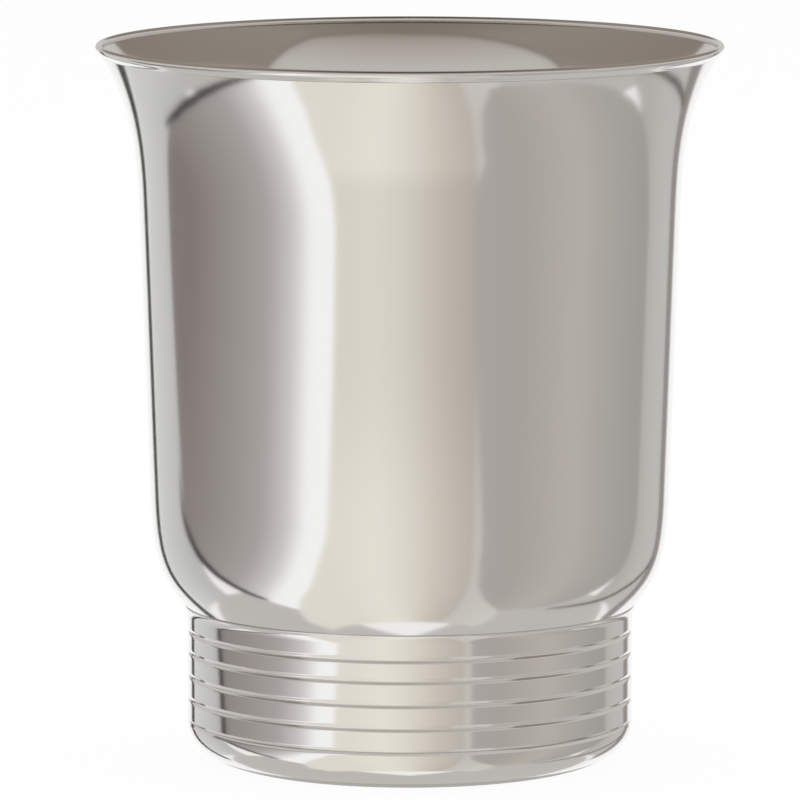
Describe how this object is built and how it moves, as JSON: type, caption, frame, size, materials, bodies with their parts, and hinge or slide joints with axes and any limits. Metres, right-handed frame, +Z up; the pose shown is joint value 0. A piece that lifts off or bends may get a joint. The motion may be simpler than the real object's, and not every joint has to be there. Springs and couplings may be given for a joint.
{
  "type": "champagne bucket",
  "caption": "Polished metal champagne bucket with a flared mouth, round shoulder and a short straight foot with ring grooves and a rounded bottom edge.",
  "frame": {"origin": "centre of the circle that the bucket stands on, at the lowest face", "axes": "+Z up along the axis of the bucket; it is round, so X and Y are free"},
  "size_m": [0.2, 0.2, 0.2305],
  "materials": {
    "silver_plate": "mirror polished silver plate on spun sheet, with faint hairlines",
    "silver_solder": "dull, as brazed"
  },
  "bodies": {
    "root": {"bucket_body": "silver_plate", "rim_wire": "silver_plate", "foot_sleeve": "silver_plate", "base_pan": "silver_plate", "foot_solder_ring": "silver_solder", "base_solder_ring": "silver_solder"}
  },
  "joints": []
}
